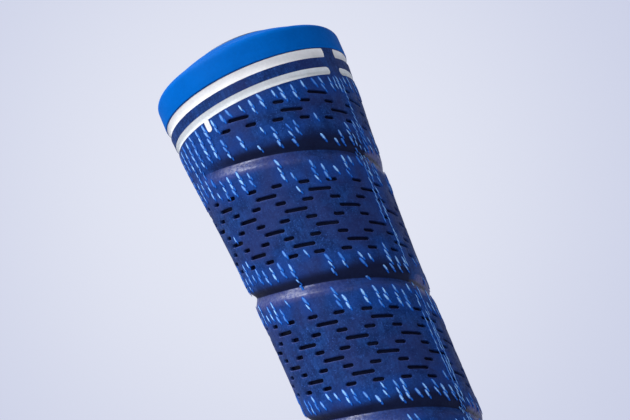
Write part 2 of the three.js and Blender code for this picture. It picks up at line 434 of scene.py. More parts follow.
class Wiring:
    """Short ways to add and join nodes in one tree."""

    def __init__(self, tree):
        self.nodes, self.links = tree.nodes, tree.links

    def place(self, socket, value):
        if isinstance(value, bpy.types.NodeSocket):
            self.links.new(value, socket)
        else:
            socket.default_value = value

    def math(self, operation, *values, clamp=False):
        node = self.nodes.new("ShaderNodeMath")
        node.operation, node.use_clamp = operation, clamp
        for socket, value in zip(node.inputs, values):
            self.place(socket, value)
        return node.outputs[0]

    def noise(self, place, scale, detail=3.0, roughness=0.55):
        node = self.nodes.new("ShaderNodeTexNoise")
        self.place(node.inputs["Vector"], place)
        self.place(node.inputs["Scale"], scale)
        node.inputs["Detail"].default_value = detail
        node.inputs["Roughness"].default_value = roughness
        return node.outputs["Fac"]

    def range(self, value, low, high, to_low=0.0, to_high=1.0):
        node = self.nodes.new("ShaderNodeMapRange")
        node.interpolation_type = "SMOOTHSTEP"
        limits = {"From Min": low, "From Max": high, "To Min": to_low, "To Max": to_high}
        for label, number in {"Value": value, **limits}.items():
            self.place(node.inputs[label], number)
        return node.outputs["Result"]

    def mix(self, share, first, second):
        node = self.nodes.new("ShaderNodeMix")
        node.data_type = "RGBA"
        self.place(node.inputs["Factor"], share)
        self.place(node.inputs[6], first)
        self.place(node.inputs[7], second)
        return node.outputs[2]

    def bump(self, height, strength, distance, normal=None):
        node = self.nodes.new("ShaderNodeBump")
        node.inputs["Strength"].default_value = strength
        node.inputs["Distance"].default_value = distance
        self.place(node.inputs["Height"], height)
        if normal is not None:
            self.place(node.inputs["Normal"], normal)
        return node.outputs["Normal"]

    def object_place(self):
        return self.nodes.new("ShaderNodeTexCoord").outputs["Object"]

    def drawn_out(self, place, share):
        """The same place with the grip's length squeezed, which draws a pattern out along the grip."""
        node = self.nodes.new("ShaderNodeMapping")
        node.inputs["Scale"].default_value = (1, 1, share)
        self.place(node.inputs["Vector"], place)
        return node.outputs["Vector"]

    def attribute(self, name):
        node = self.nodes.new("ShaderNodeAttribute")
        node.attribute_name = name
        return node.outputs["Fac"]

    def group(self, group, **values):
        node = self.nodes.new("ShaderNodeGroup")
        node.node_tree = group
        for label, value in values.items():
            self.place(node.inputs[label.replace("_", " ")], value)
        return node.outputs


def rubber_grain_group():
    """Fine tooth of moulded rubber: a height for bump, and a mottle from 0 to 1 for colour and roughness."""
    group, inside, outside_node = new_group(
        "rubber_grain",
        [("Fine", "value", 3500.0), ("Broad", "value", 500.0)],
        [("Height", "value"), ("Mottle", "value")],
    )
    wire = Wiring(group)
    place = wire.object_place()
    fine = wire.noise(place, inside.outputs["Fine"], detail=2.0)
    broad = wire.noise(place, inside.outputs["Broad"], detail=4.0)
    wire.place(outside_node.inputs["Height"], wire.math("ADD", fine, wire.math("MULTIPLY", broad, 0.6)))
    mottle = wire.math("ADD", wire.math("MULTIPLY", fine, 0.45), wire.math("MULTIPLY", broad, 0.55))
    wire.place(outside_node.inputs["Mottle"], wire.range(mottle, 0.36, 0.64))
    return group


def material_with(name):
    material = bpy.data.materials.new(name)
    material.use_nodes = True
    shader = material.node_tree.nodes["Principled BSDF"]
    return material, shader, Wiring(material.node_tree)


def skin_material(grain):
    """Navy rubber, bluer near the yarns, with painted shade in the slots and under the wrap's edge, and a
    painted sheen on the groove's bevel and on the slots' lower lips.
    """
    material, shader, wire = material_with("navy_cord_rubber")
    marks = wire.group(grain, Fine=3200.0, Broad=600.0)
    bevel, shade, lip = wire.attribute("bevel"), wire.attribute("shade"), wire.attribute("lip")
    cloud = wire.range(wire.noise(wire.object_place(), 160.0, detail=3.0), 0.38, 0.64)
    base = wire.mix(marks["Mottle"], (0.003, 0.015, 0.082, 1), (0.011, 0.048, 0.205, 1))
    fleck = wire.range(wire.noise(wire.object_place(), 5200.0, detail=1.0), 0.60, 0.72, 0.0, 0.8)
    base = wire.mix(fleck, base, (0.030, 0.095, 0.380, 1))
    threads = wire.noise(wire.drawn_out(wire.object_place(), 0.16), 2400.0, detail=1.0)
    weave = wire.range(threads, 0.42, 0.6, 0.0, 0.45)
    base = wire.mix(weave, base, (0.003, 0.016, 0.085, 1))
    violet = wire.mix(wire.math("MULTIPLY", cloud, 0.6), base, (0.018, 0.026, 0.115, 1))
    stained = wire.mix(wire.math("MULTIPLY", wire.attribute("stain"), 0.48), violet, (0.002, 0.055, 0.320, 1))
    # Painted sheen: the bevel mark lightens the groove's bevel towards a pale violet.
    mottled_or_sheened = wire.mix(wire.math("MULTIPLY", bevel, 0.4), stained, (0.050, 0.050, 0.210, 1))
    # Painted highlight: the lip mark lightens the lower lip of each slot.
    lip_highlight = wire.mix(wire.math("MULTIPLY", lip, 0.5), mottled_or_sheened, (0.075, 0.085, 0.270, 1))
    # Painted shade: the shade mark mixes the slots and the groove's upper wall towards near-black.
    wire.place(shader.inputs["Base Color"], wire.mix(shade, lip_highlight, (0.0034, 0.0028, 0.016, 1)))
    wire.place(shader.inputs["Roughness"], wire.range(marks["Mottle"], 0.0, 1.0, 0.64, 0.5))
    speck = wire.range(wire.noise(wire.object_place(), 2600.0, detail=1.0), 0.36, 0.62, 0.3, 1.0)
    wire.place(shader.inputs["Coat Weight"], wire.math("MULTIPLY", bevel, speck, clamp=True))
    shader.inputs["Coat Roughness"].default_value = 0.36
    shader.inputs["Specular IOR Level"].default_value = 0.22
    shader.inputs["Specular Tint"].default_value = (0.30, 0.50, 1.0, 1)
    wire.place(shader.inputs["Normal"], wire.bump(marks["Height"], 0.35, 0.00006))
    return material


def plain_rubber(name, grain, low, high, roughness, fine=3000.0, broad=400.0, strength=0.2, shine=0.2):
    material, shader, wire = material_with(name)
    marks = wire.group(grain, Fine=fine, Broad=broad)
    wire.place(shader.inputs["Base Color"], wire.mix(marks["Mottle"], low, high))
    dull = wire.range(marks["Mottle"], 0.0, 1.0, roughness + 0.05, roughness - 0.05)
    wire.place(shader.inputs["Roughness"], dull)
    shader.inputs["Specular IOR Level"].default_value = shine
    wire.place(shader.inputs["Normal"], wire.bump(marks["Height"], strength, 0.00004))
    return material


def yarn_material(grain):
    """Cotton cord: pale along the crown of each ply, and dyed deep blue down its flanks."""
    material, shader, wire = material_with("twisted_blue_cord")
    marks = wire.group(grain, Fine=6000.0, Broad=1500.0)
    core = wire.mix(wire.attribute("bleach"), (0.006, 0.13, 0.56, 1), (0.33, 0.63, 1.0, 1))
    mottled_or_sheened = wire.mix(wire.math("MULTIPLY", marks["Mottle"], 0.45), core, (0.02, 0.17, 0.62, 1))
    pale = wire.range(wire.attribute("crown"), 0.55, 0.85)
    wire.place(shader.inputs["Base Color"], wire.mix(pale, (0.002, 0.055, 0.34, 1), mottled_or_sheened))
    shader.inputs["Roughness"].default_value = 0.85
    shader.inputs["Specular IOR Level"].default_value = 0.2
    wire.place(shader.inputs["Normal"], wire.bump(marks["Height"], 0.4, 0.00005))
    return material


# ---- the skin ----

# The wrapped part is laid out flat and then wound on. Across the sheet is the distance round the sleeve,
# which runs on from turn to turn, and down it is the distance from one turn of the groove to the next.

MIDDLE_ROW = FIRST_ROW + (SHORT_ROWS - 1) * ROW_STEP
SEAM = 0.05
SLOTS_TOP = FIRST_ROW - ROW_STEP / 2
SLOTS_FOOT = FIRST_ROW + (2 * SHORT_ROWS - 1.5) * ROW_STEP
UPPER_MARGIN = [SEAM, 0.3, 0.65, 1.0, 1.2, 1.35, 1.6, 2.1, 2.9, SLOTS_TOP]
LOWER_MARGIN = [SLOTS_FOOT, 16.1, 16.8, 17.4, 17.9, 18.2, 18.5, 18.75, 18.95, GROOVE_PITCH - SEAM]
COLUMNS_PER_SLOT = 3
RISE_BEGINS, RISE_ENDS = (3, 8), (16.2, 18.8)
WIND_FROM_DEG, WIND_TO_DEG = -275, 4960  # the flat sheet's two ends, which the trimming takes off

_turns = np.arange(-400, 5400, 1.0)
_middle_radius = outside(groove_line(_turns) + MIDDLE_ROW)
_wound = np.concatenate([[0], np.cumsum(np.radians((_middle_radius[1:] + _middle_radius[:-1]) / 2))])
_wound -= np.interp(SLOT_PHASE_DEG, _turns, _wound)


def wind(across, down):
    """Angle, counted on from turn to turn, and distance below the cap of places on the flat sheet."""
    middle = np.interp(across, _wound, _turns)
    radius = outside(groove_line(middle) + MIDDLE_ROW)
    slope = np.arctan(GROOVE_PITCH / (math.tau * radius))
    lean = (down - MIDDLE_ROW) * np.sin(slope) * np.cos(slope) / radius
    spread = radius / outside(groove_line(middle) + down) - 1
    ease = SLOT_EASE * spread * np.sin(np.radians(middle - SLOT_EASE_DEG))
    top = 1 - fade(TOP_TURN_DEG, middle)
    top_lean = top * TOP_LEAN * (TOP_LEAN_FROM - down) / radius
    deg = middle - np.degrees(lean - ease - top_lean)
    rise = TOP_RISE * top * fade(RISE_BEGINS, down) * (1 - fade(RISE_ENDS, down))
    return deg, groove_line(deg) + down - rise


def slot_tile(name, pitches, length):
    """One cell of the flat sheet with a round-ended slot sunk in it."""
    half_cell = pitches * SLOT_PITCH / 2
    across = np.linspace(-half_cell, half_cell, pitches * COLUMNS_PER_SLOT + 1)
    tile = sheet_of(name, across, [-ROW_STEP / 2, ROW_STEP / 2])
    pick(tile)
    bpy.ops.object.mode_set(mode="EDIT")
    bpy.ops.mesh.select_mode(type="EDGE")
    bpy.ops.mesh.select_all(action="SELECT")
    bpy.ops.mesh.delete(type="ONLY_FACE")
    select_where(tile, "edges", lambda place: abs(place.y) < 0.01 and abs(place.x) < half_cell - 0.01)
    bpy.ops.mesh.delete(type="EDGE")

    # The slot's rim is a ring of eight, drawn out to the slot's length.
    bpy.ops.mesh.select_mode(type="VERT")
    rim = SLOT_WIDTH / 2 + SLOT_LIP
    turn = math.pi / 8
    bpy.ops.mesh.primitive_circle_add(vertices=8, radius=rim / math.cos(turn), rotation=(0, 0, turn))
    for side in (-1, 1):
        select_where(tile, "verts", lambda place: place.length < rim * 1.15 and place.x * side > 0)
        bpy.ops.transform.translate(value=(side * (length - SLOT_WIDTH) / 2, 0, 0))
    if pitches > 1:
        clear = ROW_STEP / 2 - 0.1
        select_where(tile, "edges", lambda place: abs(place.x) < 0.01 and 0.1 < abs(place.y) < clear)
        bpy.ops.mesh.subdivide(number_cuts=COLUMNS_PER_SLOT)
    bpy.ops.mesh.select_all(action="SELECT")
    bpy.ops.mesh.bridge_edge_loops()

    # Its rounded lip, wall and floor.
    end = length / 2 + SLOT_LIP
    select_where(tile, "verts", lambda place: abs(place.y) < rim + 0.01 and abs(place.x) < end + 0.01)
    bpy.ops.mesh.select_mode(type="EDGE")
    was, depth = 0, 0
    rounded, foot = (0.6 * SLOT_LIP, 0.25 * SLOT_LIP), (1.3 * SLOT_LIP, SLOT_DEPTH)
    for inset, sink in (rounded, (SLOT_LIP, SLOT_LIP), foot):
        bpy.ops.mesh.extrude_edges_move(TRANSFORM_OT_translate={"value": (0, 0, depth - sink)})
        shrink = ((end - inset) / (end - was), (rim - inset) / (rim - was), 1)
        bpy.ops.transform.resize(value=shrink, center_override=(0, 0, 0))
        was, depth = inset, sink
    bpy.ops.mesh.edge_face_add()
    bpy.ops.mesh.select_all(action="SELECT")
    bpy.ops.mesh.normals_make_consistent(inside=False)
    bpy.ops.object.mode_set(mode="OBJECT")
    return tile


def slot_runs(row, first, last):
    """The first and last columns of one row that hold a slot, and the middles of its slots."""
    down = FIRST_ROW + row * ROW_STEP
    short = row % 2 == 0
    step = 1 if short else 2
    start = first + 1 if short else first + 1 + (first + 1 + row // 2) % 2
    columns = np.arange(start, last - 1, step)
    middles = (columns + (0 if short else 0.5)) * SLOT_PITCH
    deg, below = wind(middles, down)
    held = (below >= SLOTS_BELOW_CAP[0]) & (below <= SLOTS_BELOW_CAP[1]) & (deg >= SLOTS_START_DEG)
    columns, middles = columns[held], middles[held]
    return columns[0], columns[-1] + step - 1, [(x, down, short) for x in middles]


def plain_run(first, last, rows):
    """Cells with no slots, from one column to another."""
    count = (last - first + 1) * COLUMNS_PER_SLOT
    across = np.linspace(first - 0.5, last + 0.5, count + 1) * SLOT_PITCH
    return sheet_of("plain_run", across, [-down for down in reversed(rows)])


def flat_skin():
    """The whole flat sheet, and the middle of every slot in it."""
    first = round(np.interp(WIND_FROM_DEG, _turns, _wound) / SLOT_PITCH)
    last = round(np.interp(WIND_TO_DEG, _turns, _wound) / SLOT_PITCH)
    tiles = {True: slot_tile("short_slot", 1, SHORT_SLOT), False: slot_tile("long_slot", 2, LONG_SLOT)}
    parts = [plain_run(first, last, UPPER_MARGIN), plain_run(first, last, LOWER_MARGIN)]
    slots = []
    for row in range(2 * SHORT_ROWS - 1):
        short = row % 2 == 0
        start, end, middles = slot_runs(row, first, last)
        slots += middles
        pick(tiles[short])
        bpy.ops.object.duplicate()
        run = bpy.context.object
        x, down, _ = middles[0]
        run.data.transform(Matrix.Translation((x, -down, 0)))
        step = SLOT_PITCH * (1 if short else 2)
        modify(
            run,
            "ARRAY",
            count=len(middles),
            use_relative_offset=False,
            use_constant_offset=True,
            constant_offset_displace=(step, 0, 0),
        )
        edges = [down - ROW_STEP / 2, down + ROW_STEP / 2]
        parts += [run, plain_run(first, start - 1, edges), plain_run(end + 1, last, edges)]
    sheet = join(parts)
    weld(sheet, 0.01)
    for tile in tiles.values():
        bpy.data.objects.remove(tile)
    return sheet, slots


def zip_up(mesh, left, left_deg, right, right_deg):
    """Joins two rows of points with triangles, going along both by their angles."""
    i = j = 0
    while i < len(left) - 1 or j < len(right) - 1:
        go_left = j == len(right) - 1 or (i < len(left) - 1 and left_deg[i + 1] < right_deg[j + 1])
        corner = left[i + 1] if go_left else right[j + 1]
        if corner not in (left[i], right[j]):
            mesh.faces.new((left[i], right[j], corner))
        i, j = (i + 1, j) if go_left else (i, j + 1)


def close_seam(obj, flat, deg):
    """Joins the foot of each turn of the wound sheet to the head of the next, along the groove."""
    mesh = bmesh.new()
    mesh.from_mesh(obj.data)
    mesh.verts.ensure_lookup_table()
    rows = []
    for down, ahead in ((SEAM, 0), (GROOVE_PITCH - SEAM, 360)):
        on_row = np.flatnonzero(np.abs(flat[:, 1] + down) < 0.005)
        on_row = on_row[np.argsort(deg[on_row])]
        rows.append((on_row, deg[on_row] + ahead))
    low = max(angles[0] for _, angles in rows)
    high = min(angles[-1] for _, angles in rows)
    chains = []
    for on_row, angles in rows:
        inside = (angles >= low) & (angles <= high)
        chains += [[mesh.verts[i] for i in on_row[inside]], angles[inside]]
    zip_up(mesh, chains[2], chains[3], chains[0], chains[1])
    mesh.to_mesh(obj.data)
    mesh.free()


def trim(obj, height, keep_below):
    pick(obj)
    bpy.ops.object.mode_set(mode="EDIT")
    bpy.ops.mesh.select_all(action="SELECT")
    bpy.ops.mesh.bisect(
        plane_co=(0, 0, height),
        plane_no=(0, 0, 1),
        clear_outer=keep_below,
        clear_inner=not keep_below,
        threshold=0.0005,
    )
    bpy.ops.object.mode_set(mode="OBJECT")


def open_ring(mesh, height, radius_over, radius_under=99.0):
    """The points of an open edge that goes right round at one height, sorted by angle and closed."""
    ring = [
        vert
        for vert in mesh.verts
        if vert.is_boundary
        and abs(vert.co.z - height) < 0.004
        and radius_over < math.hypot(vert.co.x, vert.co.y) < radius_under
    ]
    if not ring:
        raise ValueError(f"there is no open edge at {height}")
    angle = {vert: math.degrees(math.atan2(vert.co.y, vert.co.x)) % 360 for vert in ring}
    ring.sort(key=angle.get)
    angles = [angle[vert] for vert in ring]
    return ring + [ring[0]], angles + [angles[0] + 360]


# The plain ring under the cap, with its two painted channels, ends just above the wrapped part.
BAND_FOOT = 4.2
WRAP_HEAD = 4.27
UPPER_STRIPE = {"middle": 0.82, "half": 0.7, "corner": 0.22}
LOWER_STRIPE = {"middle": 3.565, "half": 0.595, "corner": 0.55}
STRIPE_END_DEG = 4.9
CHANNEL_DEPTH = 0.36
INNER_STATIONS = [240, 200, 150, 115, 80, 50, 30, 12]


def stripe_share(deg, corner):
    """Width of a stripe as a share of its full width: 0 past its rounded ends, and 1 along it."""
    from_joint = np.abs((np.asarray(deg, float) - PARTING_DEG + 90) % 180 - 90)
    past_end = np.radians(from_joint - STRIPE_END_DEG) * outside(2)
    t = np.clip(past_end / corner, 0, 1)
    return np.sqrt(t * (2 - t))


def stripe_columns(over_joint):
    """Angles of the columns along both stripes' halves, closer together at their rounded ends."""
    ends = np.degrees(np.array([0, 0.03, 0.1, 0.2, 0.34, 0.55, 0.9]) / outside(2))
    half = np.concatenate([ends, np.linspace(ends[-1], 180 - 2 * STRIPE_END_DEG - ends[-1], 78)[1:-1]])
    half = np.concatenate([half, 180 - 2 * STRIPE_END_DEG - ends[::-1]])
    start = PARTING_DEG + STRIPE_END_DEG
    if not over_joint:
        return start + half
    joint = 180 - 2 * STRIPE_END_DEG + np.array([0.25, 0.5, 0.75]) * 2 * STRIPE_END_DEG
    whole = np.concatenate([half, joint])
    return np.concatenate([start + whole, start + 180 + whole, [start + 360]])


def band_under_cap():
    """The skin's inner wall, its head and the ring with the painted channels, as one sheet from the foot
    inside to the top of the wrapped part."""
    rows = [("inner", CAP_EDGE - SKIN_FOOT)] + [("inner", below) for below in INNER_STATIONS]
    rows += [("inner", SEAM), ("plain", SEAM)]
    for stripe, after in ((UPPER_STRIPE, (1.8, 2.3, 2.8)), (LOWER_STRIPE, (BAND_FOOT,))):
        rows += [(stripe, u) for u in (-1, -0.94, 0, 0.94, 1)]
        rows += [("plain", below) for below in after]
    columns = stripe_columns(True)
    band = sheet_of("band", columns, np.arange(len(rows)))
    flat = read_points(band)
    placed = np.empty_like(flat)
    for number, (kind, value) in enumerate(rows):
        on_row = np.rint(flat[:, 1]) == number
        deg = flat[on_row, 0]
        if isinstance(kind, dict):
            share = stripe_share(deg, kind["corner"])
            below = kind["middle"] + value * kind["half"] * share
            lift = np.where((share > 0.01) & (abs(value) < 1), -CHANNEL_DEPTH, 0)
        else:
            below = np.full_like(deg, value)
            lift = np.full_like(deg, -SKIN_THICKNESS if kind == "inner" else 0)
        placed[on_row] = point(deg, below, lift)
    write_points(band, placed)
    band.data.flip_normals()
    weld(band, 0.003)
    return band


# Round the grip, by angle from the left: how far above its line the groove gets painted shade, and how
# strong the painted sheen on its bevel is. Behind the joint the painted sheen also covers the groove's upper
# wall.
GROOVE_SHADE = ([0, 58, 89, 115, 146, 152, 328, 340], [1.4, 1.6, 2.1, 3.8, 3.8, 0.6, 0.6, 1.4])
SHADE_FADE_IN, EDGE_SHADE = (9.8, 11.8), 0.94
BEVEL_SHEEN = ([0, 62, 90, 112, 146, 152, 200, 340], [1.0, 1.0, 0.5, 0.1, 0.1, 2.0, 1.0, 1.0])
SHEEN_STARTS = ([150, 156, 324, 330], [0, -1.4, -1.4, 0])
SHEEN_ENDS = (1.5, 2.2)


def outer_skin(material):
    skin, slots = flat_skin()
    flat = read_points(skin)
    deg, below = wind(flat[:, 0], -flat[:, 1])
    write_points(skin, point(deg, below, flat[:, 2] - groove_depth(deg, below)))
    past = past_groove(deg, below)
    sunk = -flat[:, 2]
    offset = (-flat[:, 1] - FIRST_ROW + ROW_STEP / 2) % ROW_STEP - ROW_STEP / 2
    # Painted shade: in_slot darkens each slot down its wall and floor, and dark darkens the skin above the
    # groove's line over a reach that changes round the grip. Both go into the shade mark.
    in_slot = fade((0.3 * SLOT_LIP, SLOT_DEPTH), sunk)
    turned_deg = (deg - 180) % 360
    reach, sheen = np.interp(turned_deg, *GROOVE_SHADE), np.interp(turned_deg, *BEVEL_SHEEN)
    line = below - past
    until_foot = 1 - fade(GROOVE_FADE_OUT, line)
    dark = fade((-reach, -0.4 * reach), past) * fade(SHADE_FADE_IN, line) * until_foot
    mark_points(skin, "shade", np.maximum(in_slot, np.where(past < 0, EDGE_SHADE * dark, 0)))
    # The bevel mark gives the groove's bevel a real clear coat, and also a painted sheen in its colour that
    # is strongest on the left of the grip.
    sheen_from = np.interp(turned_deg, *SHEEN_STARTS)
    on_bevel = fade(GROOVE_FADE_IN, line) * until_foot * (1 - fade(SHEEN_ENDS, past))
    mark_points(skin, "bevel", np.where(past > sheen_from, sheen * on_bevel, 0))
    # Painted highlight on the lower lip of each slot.
    on_lip = (sunk > 0.1 * SLOT_LIP) & (sunk < 1.5 * SLOT_LIP) & (offset > 0.4 * SLOT_WIDTH)
    mark_points(skin, "lip", on_lip)
    close_seam(skin, flat, deg)
    trim(skin, CAP_EDGE - WRAP_HEAD, keep_below=True)
    trim(skin, SKIN_FOOT, keep_below=False)
    skin = join([skin, band_under_cap()])
    mesh = bmesh.new()
    mesh.from_mesh(skin.data)
    head = open_ring(mesh, CAP_EDGE - BAND_FOOT, 12)
    wrap = open_ring(mesh, CAP_EDGE - WRAP_HEAD, 12)
    zip_up(mesh, *head, *wrap)
    foot_middle = outside(CAP_EDGE) - 0.5 * SKIN_THICKNESS
    zip_up(mesh, *open_ring(mesh, SKIN_FOOT, foot_middle), *open_ring(mesh, SKIN_FOOT, 5, foot_middle))
    bmesh.ops.holes_fill(mesh, edges=[edge for edge in mesh.edges if edge.is_boundary], sides=4)
    bmesh.ops.recalc_face_normals(mesh, faces=mesh.faces)
    mesh.to_mesh(skin.data)
    mesh.free()
    finish_piece(skin, "outer_skin", material, ["outer_skin_front", "outer_skin_rear"])
    return skin, slots


# ---- painted rings and tick ----


def painted_sheet(name, columns, rows, place):
    """A thin coat of paint from a flat sheet. place gives its points' angle, distance below the cap and
    lift from their column and row."""
    paint = sheet_of(name, columns, rows)
    flat = read_points(paint)
    # The sheet's rows run up and its places run down, so the coat comes out facing in and is turned over.
    write_points(paint, point(*place(flat[:, 0], flat[:, 1])))
    paint.data.flip_normals()
    weld(paint, 0.003)
    modify(paint, "SOLIDIFY", thickness=0.1, offset=-1)
    return paint


def painted_stripe(name, stripe, half_deg, hollow, node, material):
    def place(deg, u):
        share = stripe_share(deg, stripe["corner"])
        return deg, stripe["middle"] + 0.97 * u * stripe["half"] * share, -0.05 - hollow(np.abs(u)) * share

    rows = [-1, -0.85, -0.6, -0.3, 0, 0.3, 0.6, 0.85, 1]
    stripe_piece = painted_sheet(name, stripe_columns(False) + half_deg, rows, place)
    finish_piece(stripe_piece, name, material, [node], smooth_deg=50)


def painted_rings(plain_white_paint, shaded_white_paint):
    def round_hollow(u):
        return 0.2 * (1 - u * u)

    def pointed_hollow(u):
        return 0.26 * (1 - u)

    for side, half_deg in (("rear", 0), ("front", 180)):
        upper = ("upper", UPPER_STRIPE, round_hollow, plain_white_paint)
        # The lower ring takes the darker white, a painted shade in its pointed hollow.
        lower = ("lower", LOWER_STRIPE, pointed_hollow, shaded_white_paint)
        for label, stripe, hollow, material in (upper, lower):
            name = f"{label}_stripe_{side}"
            painted_stripe(f"painted_{name}", stripe, half_deg, hollow, name, material)


TICK = {"deg": 234.9, "half_width": 0.42, "head": 4.05, "foot": 5.85}


def painted_tick(material):
    half_deg = math.degrees(TICK["half_width"] / outside(5))

    def place(across, down):
        to_foot = (TICK["foot"] - down) / TICK["half_width"]
        t = np.clip(to_foot, 0, 1)
        share = np.sqrt(t * (2 - t))
        return TICK["deg"] + across * half_deg * share, down, 0.09 - 0.05 * across**2

    round_end = TICK["foot"] - TICK["half_width"] * np.array([1, 0.75, 0.5, 0.3, 0.15, 0.05, 0])
    rows = np.concatenate([np.linspace(TICK["head"], round_end[0], 5)[:-1], round_end])
    tick = painted_sheet("tick", [-1, -0.7, -0.35, 0, 0.35, 0.7, 1], rows, place)
    finish_piece(tick, "painted_tick", material, ["alignment_tick"], smooth_deg=50)


# ---- cord yarns that show through the skin ----

YARN_COLUMNS = 53
FIRST_BEAD = 4.75  # the yarns come out from under the lower stripe

# A yarn is a row of short plies. These are half a ply's width, length and height, the distance from one
# ply to the next, how far the yarn wanders and over what length, the length of its gaps, how readily it
# shows at the least, the slant of its plies and how far from the slots they stay.
CORD = dict(
    bead=(0.22, 0.62, 0.07), step=1.0, sway_deg=1.3, reach=26, gap=2.9, least=0, slant_deg=14, clear=0.66
)
THREAD = dict(
    bead=(0.14, 0.62, 0.06), step=0.85, sway_deg=5.5, reach=16, gap=8, least=0.6, slant_deg=9, clear=0.2
)
PLY_WOBBLE_DEG = 7
THREADS_AT_JOINT = (-4.2, -1.0, 2.2)

# How readily yarns show, by where they are. The wrap's head ends where the groove is cut in.
WRAP_HEAD_DEG, WRAP_HEAD_REACH, UNDER_STRIPES = 242, 4, 6.6
GROOVE_SIDES, BESIDE_GROOVE = (-1.3, 1.35), (-5, 4.4)
COVER_AT_HEAD, COVER_BELOW_HEAD, COVER_UNDER_STRIPES = 0.95, 0.72, 0.82
COVER_IN_GROOVE, COVER_BESIDE_GROOVE, COVER_ELSEWHERE = 0.08, 0.56, 0.17


def slot_places(slots):
    """Points along every slot, which the yarns keep clear of."""
    places = []
    for across, down, short in slots:
        reach = (SHORT_SLOT if short else LONG_SLOT) / 2
        along = across + np.linspace(-reach, reach, 3 if short else 6)
        deg, below = wind(along, np.full_like(along, down))
        places.append(point(deg, below))
    return np.concatenate(places)


def search_tree(places):
    tree = KDTree(len(places))
    for i, place in enumerate(places):
        tree.insert(place, i)
    tree.balance()
    return tree


def yarn_cover(deg, below):
    """How readily yarns show at a place, from 0 to 1: most under the stripes and beside the groove."""
    past = float(past_groove(deg, below))
    line = below - past
    turn_deg = 270 + (line - GROOVE_PHASE) / GROOVE_PITCH * 360
    in_groove = GROOVE_SIDES[0] < past < GROOVE_SIDES[1]
    if turn_deg < WRAP_HEAD_DEG:
        if in_groove:
            return COVER_AT_HEAD - 0.9 * float(fade(GROOVE_FADE_IN, line + 0.6))
        if past < WRAP_HEAD_REACH:
            return COVER_AT_HEAD if past < 0 else COVER_BELOW_HEAD
    if below < UNDER_STRIPES:
        return COVER_UNDER_STRIPES
    if in_groove:
        return COVER_IN_GROOVE
    if BESIDE_GROOVE[0] < past < BESIDE_GROOVE[1]:
        return COVER_BESIDE_GROOVE
    return COVER_ELSEWHERE


def yarn_beads(slots):
    """Angle, distance below the cap, drift, kind, size, bleach and side of every ply of yarn that shows."""
    keep_clear = search_tree(slot_places(slots))
    draw = random.Random(11)
    beads = []
    yarns = [(360 * i / YARN_COLUMNS, CORD) for i in range(YARN_COLUMNS)]
    for joint in (PARTING_DEG, PARTING_DEG - 180):
        yarns += [(joint + ahead, THREAD) for ahead in THREADS_AT_JOINT]
    for number, (middle_deg, kind) in enumerate(yarns):
        middle_deg += draw.uniform(-0.9, 0.9)
        below = FIRST_BEAD + draw.uniform(0, 0.4)
        side = 1
        while below < CAP_EDGE - SKIN_FOOT - 10:
            swing = noise.noise(Vector((number * 5.3, below / kind["reach"], 0)))
            ahead = noise.noise(Vector((number * 5.3, (below + 1) / kind["reach"], 0)))
            deg = middle_deg + kind["sway_deg"] * swing
            drift = math.radians(kind["sway_deg"] * (ahead - swing)) * float(outside(below))
            hidden = 0.5 + 0.62 * noise.noise(Vector((number * 9.7 + 3, below / kind["gap"], 4.2)))
            cover = max(kind["least"], yarn_cover(deg, below))
            bleach = min(1, draw.uniform(0.1, 1.5))
            size = draw.uniform(0.75, 1.2) * (0.95 + 0.3 * cover)
            if hidden < cover and keep_clear.find(point(deg, below))[2] > kind["clear"]:
                beads.append((deg, below, drift, kind, size, bleach, side))
                if kind is CORD:
                    beside, behind = deg + 1.0, below + 0.45 * CORD["step"]
                    beads.append((beside, behind, drift, kind, 0.75 * size, 0.0, side))
            side = -side
            below += kind["step"] * draw.uniform(0.92, 1.08)
    return beads


def bead_shape():
    """One ply of twisted yarn: a ball drawn out into a blunt spindle and flattened underneath. Also how
    near each of its points is to its crown."""
    deselect_all()
    bpy.ops.mesh.primitive_uv_sphere_add(segments=6, ring_count=5, radius=1)
    bead = bpy.context.object
    pick(bead)
    bpy.ops.object.mode_set(mode="EDIT")
    bpy.ops.mesh.select_all(action="SELECT")
    bpy.ops.transform.rotate(value=math.pi / 2, orient_axis="X", center_override=(0, 0, 0))
    bpy.ops.object.mode_set(mode="OBJECT")
    points = read_points(bead)
    blunt = np.clip(1 - points[:, 1] ** 2, 0.1, 1) ** 0.25
    crown = np.clip(points[:, 2] / blunt, 0, 1)
    points[:, 0] /= blunt
    points[:, 2] = np.where(points[:, 2] < 0, points[:, 2] * 0.5, points[:, 2])
    faces = [tuple(face.vertices) for face in bead.data.polygons]
    bpy.data.objects.remove(bead)
    return points, crown, faces


